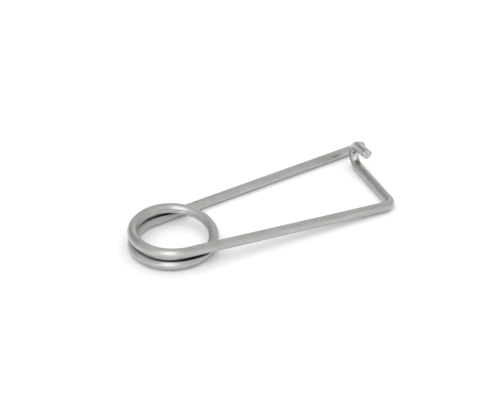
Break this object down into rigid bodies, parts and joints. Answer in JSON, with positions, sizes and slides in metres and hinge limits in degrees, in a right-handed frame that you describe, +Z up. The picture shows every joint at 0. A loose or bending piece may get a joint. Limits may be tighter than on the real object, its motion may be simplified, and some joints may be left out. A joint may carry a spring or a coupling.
{
  "type": "spring cotter pin",
  "caption": "Spring cotter pin bent from round stainless wire: straight pin leg, coil eye, sloping front leg and a crossbar ending in a catch hook, shown sprung open.",
  "frame": {"origin": "middle of the footprint, on the table that the pin lies on", "axes": "+X along the straight pin leg towards its tip, +Z up out of the table, +Y across, from the front leg towards the pin leg"},
  "size_m": [0.0924, 0.0352, 0.0106],
  "materials": {
    "steel": "satin drawn stainless spring wire"
  },
  "bodies": {
    "root": {"spring_wire": "steel"}
  },
  "joints": []
}
